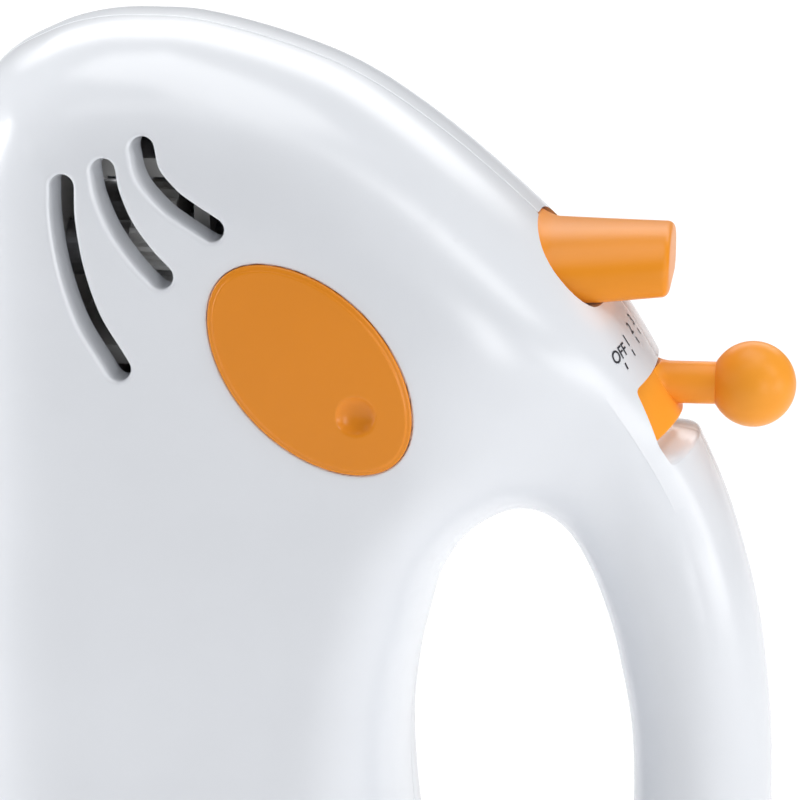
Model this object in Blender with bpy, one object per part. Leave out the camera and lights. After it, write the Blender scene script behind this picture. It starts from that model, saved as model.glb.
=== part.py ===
"""Hand mixer standing on its heel, built as separate pieces.

Metres, +Z up towards the nose, +X towards the handle (the side that is up in use),
-X the side the beaters leave from, -Y the mixer's left side. The origin is on the
floor under the middle of the heel's feet.
"""
import bmesh
import bpy
import numpy as np
from math import cos, pi, radians, sin
from mathutils import Matrix, Vector

MM = 0.001
GAP = 0.3              # clearance between touching pieces, mm
SHELL = 2.5            # wall of the casing halves, mm
SPLIT = 0.15           # half of the gap between the casing halves, mm

# Centre-plane outline of the casing, (x, z) in mm, from the nose round by the handle.
OUTLINE = [
    (-29, 209.7), (-19.8, 209.1), (-5.2, 205.5), (9.5, 199.7), (24.0, 190.2), (38.5, 178.1),
    (50.5, 166.4), (58.8, 156.6), (65.5, 146.0), (72.0, 134.4), (77.0, 123.6), (80.6, 112.8),
    (83.4, 101.8), (85.2, 90.5), (86.4, 78.0), (86.8, 62.9), (86.4, 45.0), (83.5, 26.0),
    (77.5, 8.0), (66.0, -8.0), (45.0, -14.0), (15.0, -15.0), (-20.0, -15.0), (-44.0, -12.0),
    (-57.0, 0.0), (-62.5, 20.0), (-65.0, 50.0), (-66.0, 90.0), (-66.2, 130.0), (-66.0, 165.0),
    (-64.3, 185.0), (-57.8, 199.8), (-47.6, 206.5), (-38.4, 209.2),
]
# Edge of the finger hole in the centre plane, mm.
HOLE = [
    (39.7, 118.8), (46.4, 115.4), (51.4, 107.5), (55.4, 97.6), (57.9, 89.2), (60.4, 77.5),
    (61.0, 64.0), (60.4, 50.0), (57.5, 37.5), (51.5, 27.0), (43.0, 22.4), (34.0, 24.0),
    (26.5, 32.0), (21.8, 45.0), (19.6, 60.0), (18.9, 75.1), (20.2, 88.0), (21.9, 95.9),
    (25.4, 107.7), (31.6, 115.6),
]
RINGS = 56
BODY = (36.0, 30.0, 2.6)      # half width, ramp length, exponent of the body's edge
HANDLE = (15.2, 13.2, 2.05)   # the same in the handle
HOLE_RAMP = 20.0              # ramp length at the body's side of the hole
BLEND = 9.0
STEPS = [0.0, 0.02, 0.07, 0.17, 0.32, 0.55, 1.0]
INNER_STEPS = [0.0, 0.05, 0.16, 0.4, 1.0]

# Motor line, gears and beaters, mm.
SHAFT_X = -25.0
GEAR_Z = 170.0
BEATER_Y = 17.0
WHEEL_TEETH = 24
SPINDLE_X = (-12.0, -64.0)

# Speed lever: pivot line, its direction and the outward direction in the x-z plane.
PIVOT = Vector((47.3, 0.0, 125.4))
ALONG = Vector((0.518, 0.0, -0.8554))
OUTWARD = Vector((0.8554, 0.0, 0.518))
LEVER_A = (-9.7, 0.5)         # extent of the shield along the pivot line
SHIELD_R = (22.4, 25.4)
SHIELD_TURN = [(-41.4, 12.0), (-39.0, 9.6)]   # turns in degrees at the two ends of LEVER_A
BALL_AT = (82.0, 0.0, 143.2)
BALL_R = 7.9
STEM_R = 3.9
POCKET_N = (14.0, 44.0)       # outward reach of the cut for the lever
POCKET = [(17.2, -10.2), (16.4, 1.0), (14.9, 6.0)]   # half widths down the pivot line

# Eject button: an arch in the y-z plane that narrows outwards, mm.
BUTTON_X = (38.0, 66.9)
BUTTON_LOW = (160.8, 161.6)      # at the casing and at the outer end
BUTTON_TOP = (174.2, 172.7)   # at the casing and over its outer part
BUTTON_Y = (17.8, 13.0)
BUTTON_CORNER = 4.0

# Vent slots on each flank, centre lines (x, z) in mm.
SLOTS = [
    [(-40.0, 185.2), (-39.8, 178.7), (-38.3, 169.9), (-35.4, 161.2), (-31.3, 154.2), (-30.1, 152.2)],
    [(-32.6, 188.2), (-31.7, 183.9), (-29.3, 178.2), (-25.7, 173.0), (-22.3, 169.3)],
    [(-25.7, 192.1), (-24.4, 187.6), (-20.9, 183.5), (-17.9, 181.2), (-13.1, 178.1)],
]
SLOT_WIDTH = 4.4

# Badge on each flank: centre, long direction, half length, half width.
BADGE_C = (4.35, 152.95)
BADGE_DIR = (0.674, -0.739)
BADGE_SIZE = (22.8, 14.0)
DIMPLE_AT = (12.7, 144.9)       # x, z of the thumb dimple in the badge

SCREWS = [(-50.0, 14.0), (6.0, 10.0), (50.0, 9.0), (-54.0, 140.0)]
FEET = [(-40.0, -18.0), (-40.0, 18.0), (50.0, -15.0), (50.0, 15.0), (0.0, 0.0)]


def clear_scene():
    for item in list(bpy.data.objects):
        bpy.data.objects.remove(item, do_unlink=True)


def add_mesh(name, verts, faces, smooth=False):
    """One object from vertices in mm."""
    mesh = bpy.data.meshes.new(name)
    mesh.from_pydata([tuple(c * MM for c in v) for v in verts], [], faces)
    mesh.validate()
    bm = bmesh.new()
    bm.from_mesh(mesh)
    bmesh.ops.recalc_face_normals(bm, faces=bm.faces)
    if bm.calc_volume(signed=True) < 0:
        bmesh.ops.reverse_faces(bm, faces=bm.faces)
    bm.to_mesh(mesh)
    bm.free()
    for polygon in mesh.polygons:
        polygon.use_smooth = smooth
    item = bpy.data.objects.new(name, mesh)
    bpy.context.scene.collection.objects.link(item)
    return item


def boolean(item, other, operation):
    """Apply a boolean with another object and remove that object."""
    modifier = item.modifiers.new("cut", "BOOLEAN")
    modifier.operation = operation
    modifier.object = other
    modifier.solver = "EXACT"
    graph = bpy.context.evaluated_depsgraph_get()
    mesh = bpy.data.meshes.new_from_object(item.evaluated_get(graph))
    item.modifiers.clear()
    old = item.data
    item.data = mesh
    mesh.name = item.name
    bpy.data.meshes.remove(old)
    bpy.data.objects.remove(other, do_unlink=True)
    return item


def cut(item, *others):
    for other in others:
        boolean(item, other, "DIFFERENCE")
    return item


def join(item, *others):
    for other in others:
        boolean(item, other, "UNION")
    return item


def frame_of(axis):
    """Two unit vectors square to an axis."""
    axis = Vector(axis).normalized()
    side = axis.cross(Vector((0, 1, 0)))
    if side.length < 0.1:
        side = axis.cross(Vector((0, 0, 1)))
    side.normalize()
    return axis, side, axis.cross(side)


def lathe(name, profile, base, axis, segments=28, smooth=False):
    """Turn a profile of (radius, distance along axis) about a line; radius 0 closes an end."""
    axis, side, other = frame_of(axis)
    base = Vector(base)
    verts, rings = [], []
    for radius, along in profile:
        if radius == 0:
            rings.append([len(verts)])
            verts.append(base + axis * along)
            continue
        start = len(verts)
        for k in range(segments):
            angle = 2 * pi * k / segments
            verts.append(base + axis * along + (side * cos(angle) + other * sin(angle)) * radius)
        rings.append(list(range(start, start + segments)))
    faces = []
    pairs = list(zip(rings, rings[1:]))
    if profile[0][0] and profile[-1][0]:
        pairs.append((rings[-1], rings[0]))
    for low, high in pairs:
        for k in range(segments):
            j = (k + 1) % segments
            quad = [low[k % len(low)], low[j % len(low)], high[j % len(high)], high[k % len(high)]]
            faces.append([v for i, v in enumerate(quad) if v not in quad[:i]])
    return add_mesh(name, verts, faces, smooth)


def rod(name, radius, start, end, segments=24):
    start, end = Vector(start), Vector(end)
    length = (end - start).length
    return lathe(name, [(0, 0), (radius, 0), (radius, length), (0, length)], start, end - start, segments)


def tube(name, outer, inner, start, end, segments=28):
    start, end = Vector(start), Vector(end)
    length = (end - start).length
    return lathe(name, [(outer, 0), (outer, length), (inner, length), (inner, 0)], start, end - start, segments)


def box(name, low, high):
    verts = [(x, y, z) for x in (low[0], high[0]) for y in (low[1], high[1]) for z in (low[2], high[2])]
    faces = [(0, 1, 3, 2), (4, 6, 7, 5), (0, 4, 5, 1), (2, 3, 7, 6), (0, 2, 6, 4), (1, 5, 7, 3)]
    return add_mesh(name, verts, faces)


def prism(name, outline, low, high):
    """Solid between two y levels over an (x, z) outline."""
    count = len(outline)
    verts = [(x, low, z) for x, z in outline] + [(x, high, z) for x, z in outline]
    faces = [list(range(count)), list(range(2 * count - 1, count - 1, -1))]
    for k in range(count):
        j = (k + 1) % count
        faces.append((k, j, count + j, count + k))
    return add_mesh(name, verts, faces)


def closed_curve(points, count, first):
    """Evenly spaced points on a smooth closed curve, starting level with the first."""
    points = np.array(points, float)
    total = len(points)
    fine = []
    for k in range(total):
        a, b, c, d = (points[(k + i) % total] for i in (-1, 0, 1, 2))
        for t in np.arange(0, 1, 0.05):
            fine.append(0.5 * (2 * b + (c - a) * t + (2 * a - 5 * b + 4 * c - d) * t ** 2
                               + (3 * b - a - 3 * c + d) * t ** 3))
    fine = np.array(fine)
    start = int(np.argmax(fine @ np.array(first)))
    fine = np.roll(fine, -start, axis=0)
    closed = np.vstack([fine, fine[:1]])
    walk = np.concatenate([[0], np.cumsum(np.linalg.norm(np.diff(closed, axis=0), axis=1))])
    where = np.linspace(0, walk[-1], count + 1)[:-1]
    return np.stack([np.interp(where, walk, closed[:, 0]), np.interp(where, walk, closed[:, 1])], -1)


def distance(points, curve):
    """Distance from each point to a closed polyline."""
    a = curve[None]
    b = np.roll(curve, -1, axis=0)[None]
    p = points[:, None]
    edge = b - a
    t = np.clip(((p - a) * edge).sum(-1) / (edge ** 2).sum(-1), 0, 1)
    return np.linalg.norm(p - a - edge * t[..., None], axis=-1).min(1)


def smooth_step(value, low, high):
    t = np.clip((value - low) / (high - low), 0, 1)
    return t * t * (3 - 2 * t)


def ramp(reach, exponent):
    return (1 - (1 - np.clip(reach, 0, 1)) ** exponent) ** (1 / exponent)


def handle_share(points):
    """How far a point belongs to the handle rather than the body, 0 to 1."""
    x, z = points[:, 0], points[:, 1]
    return smooth_step(x, 20, 60) * (1 - smooth_step(z, 112, 172)) * smooth_step(z, -20, 38)


def half_width(points, outer, hole, inset):
    """Half width of the casing, or of its inside when inset is the wall."""
    share = handle_share(points)
    width = BODY[0] + (HANDLE[0] - BODY[0]) * share - inset
    reach = BODY[1] + (HANDLE[1] - BODY[1]) * share - inset
    reach_hole = HOLE_RAMP + (HANDLE[1] - HOLE_RAMP) * share - inset
    power = BODY[2] + (HANDLE[2] - BODY[2]) * share
    from_edge = ramp((distance(points, outer) - inset) / reach, power)
    from_hole = ramp((distance(points, hole) - inset) / reach_hole, power)
    from_edge = np.maximum(from_edge, 1e-4)
    from_hole = np.maximum(from_hole, 1e-4)
    return width * (from_edge ** -BLEND + from_hole ** -BLEND - 1) ** (-1 / BLEND)


def inset_curve(curve, amount):
    """Move a closed counter-clockwise or clockwise curve to its left by an amount."""
    tangent = np.roll(curve, -1, axis=0) - np.roll(curve, 1, axis=0)
    tangent /= np.linalg.norm(tangent, axis=1)[:, None]
    normal = np.stack([-tangent[:, 1], tangent[:, 0]], -1)
    return curve + normal * amount


def skin(outer, hole, inset, steps):
    """Grid of points on the casing's surface between its two edges, as (x, w, z) rings."""
    start = inset_curve(outer, -inset)
    end = inset_curve(hole, inset)
    rings = []
    for step in steps:
        rings.append(start * (1 - step * 0.5) + end * step * 0.5)
    for step in reversed(steps[:-1]):
        rings.append(end * (1 - step * 0.5) + start * step * 0.5)
    result = []
    for k, ring in enumerate(rings):
        width = half_width(ring, outer, hole, inset)
        if k in (0, len(rings) - 1):
            width = np.full(len(ring), SPLIT)
        width = np.maximum(width, SPLIT)
        result.append(np.stack([ring[:, 0], width, ring[:, 1]], -1))
    return result


def casing_solid(name, side, outer, hole):
    """Closed half shell on one side, -1 or 1."""
    rings = skin(outer, hole, 0.0, STEPS) + skin(outer, hole, SHELL, INNER_STEPS)[::-1]
    verts = [(p[0], side * p[1], p[2]) for ring in rings for p in ring]
    faces = []
    for k in range(len(rings)):
        low = k * RINGS
        high = ((k + 1) % len(rings)) * RINGS
        for i in range(RINGS):
            j = (i + 1) % RINGS
            faces.append((low + i, low + j, high + j, high + i))
    return add_mesh(name, verts, faces, True)


def slot_outline(line, width):
    """Outline of a rounded slot about a centre line."""
    line = np.array(line, float)
    tangent = np.gradient(line, axis=0)
    tangent /= np.linalg.norm(tangent, axis=1)[:, None]
    normal = np.stack([-tangent[:, 1], tangent[:, 0]], -1)
    half = width / 2
    tip = line[-1] + tangent[-1] * half * 0.8
    root = line[0] - tangent[0] * half * 0.8
    left = [tuple(p) for p in line + normal * half]
    right = [tuple(p) for p in (line - normal * half)[::-1]]
    return [tuple(root)] + left + [tuple(tip)] + right


def slot_cutters(side):
    return [prism("cutter", slot_outline(line, SLOT_WIDTH), side * 20, side * 50) for line in SLOTS]


def lever_point(out, along, y=0.0):
    """A point of the lever's frame when the lever stands in the centre plane."""
    return PIVOT + OUTWARD * out + ALONG * along + Vector((0, y, 0))


def lever_block(name, out, along, half):
    """Box square to the lever's axis."""
    verts = [lever_point(n, a, y) for n in out for a in along for y in (-half, half)]
    faces = [(0, 1, 3, 2), (4, 6, 7, 5), (0, 4, 5, 1), (2, 3, 7, 6), (0, 2, 6, 4), (1, 5, 7, 3)]
    return add_mesh(name, verts, faces)


def pocket_cutter():
    """Block square to the lever's axis that narrows towards the handle."""
    outline = POCKET + [(-y, along) for y, along in reversed(POCKET)]
    return loft("cutter", [[lever_point(out, along, y) for y, along in outline] for out in POCKET_N])


def oval(growth, count=40):
    """Outline of the badge in the flank's plane."""
    direction = np.array(BADGE_DIR)
    across = np.array([-direction[1], direction[0]])
    result = []
    for k in range(count):
        angle = 2 * pi * k / count
        long = (BADGE_SIZE[0] + growth) * cos(angle)
        wide = (BADGE_SIZE[1] + growth) * sin(angle)
        result.append(tuple(np.array(BADGE_C) + direction * long + across * wide))
    return result


def arch(half, low, high, radius, count=9):
    """Arch outline in the y-z plane: a crowned top on a flat base with eased corners."""
    right = []
    for k in range(count):
        angle = pi / 2 * k / (count - 1)
        right.append((half * cos(angle) ** 0.87, low + radius + (high - low - radius) * sin(angle) ** 0.87))
    base = [(half - radius * (1 - cos(a)), low + radius - radius * sin(a)) for a in (pi / 2, pi / 3, pi / 6)]
    side = base + right
    return side + [(-y, z) for y, z in side[-2::-1]]


def loft(name, sections, smooth=False):
    """Closed solid through sections of equal point count."""
    count = len(sections[0])
    verts = [p for section in sections for p in section]
    faces = [list(range(count)), list(range(len(verts) - 1, len(verts) - count - 1, -1))]
    for k in range(len(sections) - 1):
        for i in range(count):
            j = (i + 1) % count
            faces.append((k * count + i, k * count + j, (k + 1) * count + j, (k + 1) * count + i))
    return add_mesh(name, verts, faces, smooth)


def button_section(x, shrink):
    """Cross-section of the eject button at x."""
    share = min(max((x - 44.0) / (BUTTON_X[1] - 44.0), 0.0), 1.0)
    drop = min(max((x - 42.3) / 2.7, 0.0), 1.0)
    half = BUTTON_Y[0] + (BUTTON_Y[1] - BUTTON_Y[0]) * share - shrink
    high = BUTTON_TOP[0] + (BUTTON_TOP[1] - BUTTON_TOP[0]) * drop - shrink
    low = BUTTON_LOW[0] + (BUTTON_LOW[1] - BUTTON_LOW[0]) * share + shrink
    return [(x, y, z) for y, z in arch(half, low, high, BUTTON_CORNER)]


def build_casings(outer, hole):
    halves = []
    for name, side in (("casing_left", -1), ("casing_right", 1)):
        half = casing_solid(name, side, outer, hole)
        cut(half, box("cutter", (-90, -60, -40), (110, 60, 0.8)))
        cut(half, *slot_cutters(side))
        cut(half, button_opening())
        cut(half, pocket_cutter())
        cut(half, rod("cutter", 9.3, (-40, side * BEATER_Y, GEAR_Z), (-80, side * BEATER_Y, GEAR_Z), 32))
        cut(half, rod("cutter", 6.2, (67.3, 0, 33.3), (107.3, 0, 29.3), 28))
        cut(half, prism("cutter", oval(0.4), side * 34.9, side * 45))
        for x, z in SCREWS:
            if side > 0:
                cut(half, rod("cutter", 3.4, (x, 18, z), (x, 45, z), 20))
        halves.append(half)
    return halves


def button_opening():
    outline = arch(BUTTON_Y[0] + GAP, BUTTON_LOW[0] - GAP, BUTTON_TOP[0] + GAP, BUTTON_CORNER + GAP)
    return loft("cutter", [[(x, y, z) for y, z in outline] for x in (34.0, 80.0)])


def build_badges():
    for name, side in (("badge_left", -1), ("badge_right", 1)):
        badge = prism(name, oval(0.0), side * 35.2, side * 36.9)
        dish = lathe("cutter", [(0, -2.0), (1.6, -1.8), (2.9, -1.1), (3.7, 0.6), (0, 0.6)],
                     (DIMPLE_AT[0], side * 37.4, DIMPLE_AT[1]), (0, side, 0), 24)
        cut(badge, dish)


def plate_half(x, outer, hole):
    """Half width of the room inside the casing near the floor."""
    probe = np.array([[x, 1.2], [x, 4.0]])
    return max(float(half_width(probe, outer, hole, SHELL).min()) - 7 * GAP, 4.0)


def build_heel(outer, hole):
    half = [(x, plate_half(x, outer, hole)) for x in np.linspace(-51.0, 68.0, 26)]
    outline = [(x, -y) for x, y in half] + [(x, y) for x, y in reversed(half)]
    plate = loft("heel_plate", [[(x, y, z) for x, y in outline] for z in (1.2, 4.0)])
    for k, (x, y) in enumerate(FEET):
        cut(plate, rod("cutter", 4.3, (x, y, 0), (x, y, 2.6)))
        lathe("foot_%d" % (k + 1), [(0, 0), (5.0, 0), (6.0, 0.5), (6.0, 1.0), (4.0, 1.0), (4.0, 2.4), (0, 2.4)],
              (x, y, 0), (0, 0, 1), 28, True)


def build_screws():
    for k, (x, z) in enumerate(SCREWS):
        head = rod("screw_%d" % (k + 1), 3.1, (x, 22.0, z), (x, 24.4, z), 20)
        join(head, rod("cutter", 1.6, (x, 23.0, z), (x, -14.0, z), 16))
        cut(head, box("cutter", (x - 2, 23.4, z - 0.4), (x + 2, 26, z + 0.4)))
        cut(head, box("cutter", (x - 0.4, 23.4, z - 2), (x + 0.4, 26, z + 2)))


def build_motor():
    x = SHAFT_X
    lathe("motor_shaft", [(0, 0), (1.6, 0), (2.4, 1), (2.4, 124), (1.6, 125), (0, 125)], (x, 0, 62), (0, 0, 1), 20)
    core = tube("armature", 16.6, 2.7, (x, 0, 88), (x, 0, 122), 36)
    for k in range(12):
        angle = 2 * pi * (k + 0.5) / 12
        out = Vector((cos(angle), sin(angle), 0))
        centre = Vector((x, 0, 0)) + out * 16.6
        cut(core, rod("cutter", 1.5, centre + Vector((0, 0, 80)), centre + Vector((0, 0, 130)), 8))
    for name, low, high in (("winding_lower", 82.4, 87.7), ("winding_upper", 122.3, 127.0)):
        lathe(name, [(2.7, low), (9.0, low), (13.6, low + 1.6), (13.6, high - 1.6), (9.0, high), (2.7, high)],
              (x, 0, 0), (0, 0, 1), 28, True)
    lathe("commutator", [(2.7, 70), (8.0, 70), (8.0, 80), (9.4, 80), (9.4, 82), (2.7, 82)], (x, 0, 0), (0, 0, 1), 28)
    stator = tube("motor_stator", 27.0, 17.4, (x, 0, 87), (x, 0, 123), 40)
    for side in (-1, 1):
        cut(stator, box("cutter", (x - 40, side * 23 - 5, 80), (x - 12, side * 23 + 5, 130)))
        cut(stator, box("cutter", (x + 12, side * 23 - 5, 80), (x + 40, side * 23 + 5, 130)))
    for name, side in (("field_coil_left", -1), ("field_coil_right", 1)):
        coil = lathe(name, [(19.0, 0), (25.5, 0), (25.5, 5.4), (19.0, 5.4)], (x, 0, 123.4), (0, 0, 1), 32, True)
        cut(coil, box("cutter", (x - 40, -side * 40, 120), (x + 40, side * 4.0, 132)))
    for name, side in (("brush_left", -1), ("brush_right", 1)):
        brush = box(name, (x - 2.4, side * 8.4, 73.4), (x + 2.4, side * 20.0, 77.8))
        join(brush, box("cutter", (x - 4.4, side * 12.0, 71.4), (x + 4.4, side * 24.0, 79.6)))


def build_frames():
    x = SHAFT_X
    lower = box("motor_frame", (x - 30, -26, 63.0), (x + 30, 26, 67.0))
    cut(lower, rod("cutter", 2.7, (x, 0, 50), (x, 0, 90)))
    gear = box("gearbox_frame", (-45, -27, 151), (-14.6, 27, 189))
    cut(gear, box("cutter", (-41.6, -28, 154.4), (-17.4, 28, 185.6)))
    cut(gear, rod("cutter", 2.7, (x, 0, 140), (x, 0, 195)))
    for side in (-1, 1):
        cut(gear, rod("cutter", 5.3, (-60, side * BEATER_Y, GEAR_Z), (0, side * BEATER_Y, GEAR_Z), 32))


def build_fan():
    x = SHAFT_X
    star = []
    for k in range(9):
        angle = 2 * pi * k / 9
        out = Vector((cos(angle), sin(angle)))
        side = Vector((-sin(angle), cos(angle))) * 0.8
        star += [out * 7.0 - side, out * 24.4 - side, out * 24.4 + side, out * 7.0 + side]
    levels = [[(x + p[0], p[1], z) for p in star] for z in (133.0, 142.8)]
    fan = loft("fan", levels)
    join(fan, rod("cutter", 25.0, (x, 0, 142.0), (x, 0, 144.0), 36))
    cut(fan, rod("cutter", 2.7, (x, 0, 120), (x, 0, 150), 20))


def build_worm():
    x = SHAFT_X
    profile = [(2.7, 0)]
    for k in range(6):
        z = k * 3.6
        profile += [(3.1, z), (4.0, z + 1.0), (4.0, z + 2.0), (3.1, z + 3.0)]
    profile += [(2.7, 6 * 3.6)]
    lathe("worm", profile, (x, 0, GEAR_Z - 10.8), (0, 0, 1), 18, True)


def build_drives():
    for name, side in (("left", -1), ("right", 1)):
        y = side * BEATER_Y
        wheel_verts = []
        for level in (-4.0, 4.0):
            for k in range(WHEEL_TEETH * 4):
                angle = 2 * pi * k / (WHEEL_TEETH * 4)
                radius = 12.7 if k % 4 in (0, 1) else 11.4
                wheel_verts.append((SHAFT_X + level, y + radius * cos(angle), GEAR_Z + radius * sin(angle)))
        count = WHEEL_TEETH * 4
        wheel = loft("drive_wheel_" + name, [wheel_verts[:count], wheel_verts[count:]])
        cut(wheel, rod("cutter", 5.3, (0, y, GEAR_Z), (-50, y, GEAR_Z), 32))
        spindle = tube("spindle_" + name, 5.0, 3.2, (SPINDLE_X[0], y, GEAR_Z), (SPINDLE_X[1], y, GEAR_Z), 32)
        join(spindle, tube("cutter", 7.0, 4.0, (-47.0, y, GEAR_Z), (-50.0, y, GEAR_Z), 32))
        lathe("socket_ring_" + name, [(6.0, 0), (11.4, 0), (11.4, 1.2), (9.0, 1.8), (9.0, 9.0), (6.0, 9.0)],
              (-68.0, y, GEAR_Z), (1, 0, 0), 32, True)


def wire_loop(name, centre, turn, tips):
    """Flat wire bent into the long loop of a beater, closed in the x direction."""
    path = []
    for k in range(13):
        t = k / 12
        x = tips[0] + (tips[1] - tips[0]) * t
        path.append((x, 3.4 + 17.4 * sin(pi * t) ** 0.62))
    ring = [(x, r) for x, r in path] + [(x, -r) for x, r in reversed(path)]
    count = len(ring)
    verts, faces = [], []
    for k, (x, r) in enumerate(ring):
        before, after = ring[k - 1], ring[(k + 1) % count]
        tangent = Vector((after[0] - before[0], after[1] - before[1])).normalized()
        normal = Vector((-tangent[1], tangent[0])) * 0.7
        for u, v in ((-1, -1.6), (1, -1.6), (1, 1.6), (-1, 1.6)):
            local = (x + normal[0] * u, r + normal[1] * u, v)
            y = local[1] * cos(turn) - local[2] * sin(turn)
            z = local[1] * sin(turn) + local[2] * cos(turn)
            verts.append((local[0], centre[0] + y, centre[1] + z))
    for k in range(count):
        j = (k + 1) % count
        for i in range(4):
            faces.append((4 * k + i, 4 * k + (i + 1) % 4, 4 * j + (i + 1) % 4, 4 * j + i))
    return add_mesh(name, verts, faces)


def build_beaters():
    for name, side, turn in (("left", -1, 0.0), ("right", 1, pi / 4)):
        y = side * BEATER_Y
        profile = [(0, 0), (2.2, 0), (2.9, 0.8), (2.9, 52.5), (5.2, 53.2), (5.2, 55.6), (2.9, 56.4),
                   (2.9, 176.5), (0, 176.5)]
        lathe("beater_shaft_" + name, profile, (-19.5, y, GEAR_Z), (-1, 0, 0), 20, True)
        cage = wire_loop("beater_cage_" + name, (y, GEAR_Z), 0.0, (-196.0, -104.0))
        join(cage, wire_loop("cutter", (y, GEAR_Z), pi / 2, (-196.0, -104.0)))
        for low, high in ((-109.0, -103.5), (-197.0, -191.0)):
            join(cage, rod("cutter", 5.4, (low, y, GEAR_Z), (high, y, GEAR_Z), 24))
        cut(cage, rod("cutter", 3.2, (-100, y, GEAR_Z), (-210, y, GEAR_Z), 20))
        centre = Matrix.Translation(Vector((0, y, GEAR_Z)) * MM)
        cage.data.transform(centre @ Matrix.Rotation(turn, 4, "X") @ centre.inverted())


def build_eject():
    steps = [(BUTTON_X[0], 0.0), (42.3, 0.0), (43.4, 0.0), (45.0, 0.0), (55.0, 0.0), (65.5, 0.0), (66.5, 0.4),
             (66.9, 1.2)]
    loft("eject_button", [button_section(x, shrink) for x, shrink in steps], True)
    fork = box("eject_fork", (-5.0, -22.0, 166.5), (-1.6, 22.0, 173.5))
    join(fork, box("cutter", (-3.0, -4.0, 166.5), (37.7, 4.0, 171.5)))
    for side in (-1, 1):
        y = side * BEATER_Y
        join(fork, rod("cutter", 2.4, (-4.0, y, GEAR_Z), (-19.2, y, GEAR_Z), 20))
    coil("eject_spring", (20.0, 0.0, 161.5), 11.0, 3.0, 0.5, 5)


def coil(name, base, length, radius, wire, turns):
    """Round-wire spring along x."""
    steps = turns * 12
    sides = 6
    sections = []
    for k in range(steps + 1):
        angle = 2 * pi * k / 12
        centre = Vector((base[0] + length * k / steps, base[1] + radius * cos(angle), base[2] + radius * sin(angle)))
        out = Vector((0, cos(angle), sin(angle)))
        ring = []
        for i in range(sides):
            turn = 2 * pi * i / sides
            ring.append(tuple(centre + out * wire * cos(turn) + Vector((1, 0, 0)) * wire * sin(turn)))
        sections.append(ring)
    return loft(name, sections, True)


def sector(name, inner, outer, turn, along, steps=14):
    """Part of a ring about the lever's pivot line, between two turns in degrees.

    turn is one pair, or a pair for each end of along.
    """
    turns = turn if isinstance(turn, list) else [turn, turn]
    sections = []
    for k in range(steps + 1):
        angles = [radians(low + (high - low) * k / steps) for low, high in turns]
        corners = [(outer, 0), (outer, 1), (inner, 1), (inner, 0)]
        sections.append([lever_point(r * cos(angles[e]), along[e], r * sin(angles[e])) for r, e in corners])
    return loft(name, sections, True)


def build_lever():
    lever = sector("speed_lever", SHIELD_R[0], SHIELD_R[1], SHIELD_TURN, LEVER_A, 18)
    join(lever, lever_block("cutter", (3.0, SHIELD_R[0] + 0.8), (-6.6, -2.4), 2.0))
    join(lever, rod("cutter", 4.2, lever_point(0, -9.1), lever_point(0, 4.5), 24))
    stem = rod("cutter", STEM_R, Vector(BALL_AT) - Vector((19.0, 0, 0)), Vector(BALL_AT) - Vector((3.0, 0, 0)), 24)
    cut(stem, lever_block("cutter", (0.0, 60.0), (-40.0, LEVER_A[0] + 0.2), 30.0))
    cut(stem, lever_block("cutter", (0.0, SHIELD_R[0] + 0.8), (-40.0, 40.0), 30.0))
    profile = [(0, -BALL_R)]
    for k in range(1, 12):
        profile.append((BALL_R * sin(pi * k / 12), -BALL_R * cos(pi * k / 12)))
    profile.append((0, BALL_R))
    join(lever, stem, lathe("cutter", profile, BALL_AT, (1, 0, 0), 28))
    cut(lever, rod("cutter", 2.2, lever_point(0, -20.0), lever_point(0, 20.0), 20))
    rod("lever_pin", 1.9, lever_point(0, -14.0), lever_point(0, 8.0), 20)
    well = sector("lever_well", 19.6, 22.0, [(-43.0, 43.0), (-34.6, 34.6)], (-10.0, 5.2), 16)
    cut(well, sector("cutter", 18.0, 24.0, (-8.0, 35.5), (-7.2, -1.8), 8))


def build_controls():
    switch = box("speed_switch", (18.0, -9.0, 124.0), (31.0, 9.0, 137.0))
    join(switch, rod("cutter", 2.0, (30.0, 0, 131), (35.0, 0, 131), 16))
    box("control_board", (-5.0, -16.0, 40.0), (-3.2, 16.0, 62.0))
    box("suppressor", (-2.9, -7.0, 44.0), (5.0, 7.0, 58.0))
    lathe("cord_inlet", [(2.6, -9.0), (5.7, -9.0), (5.7, 0.0), (7.4, 0.4), (7.4, 2.2), (5.0, 9.0), (2.6, 9.0)],
          (87.3, 0, 31.3), (1, 0, -0.1), 28, True)


def main():
    clear_scene()
    outer = closed_curve(OUTLINE, RINGS, (0.0, 1.0))
    hole = closed_curve(HOLE, RINGS, (-0.2, 1.0))
    build_casings(outer, hole)
    build_badges()
    build_heel(outer, hole)
    build_screws()
    build_motor()
    build_frames()
    build_fan()
    build_worm()
    build_drives()
    build_beaters()
    build_eject()
    build_lever()
    build_controls()


main()
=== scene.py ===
"""Hand mixer standing on its heel: surfaces, materials, light and camera."""

from math import cos, pi, radians, sin, sqrt

import bmesh
import bpy
import numpy as np
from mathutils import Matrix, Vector
from mathutils.geometry import delaunay_2d_cdt

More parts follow.
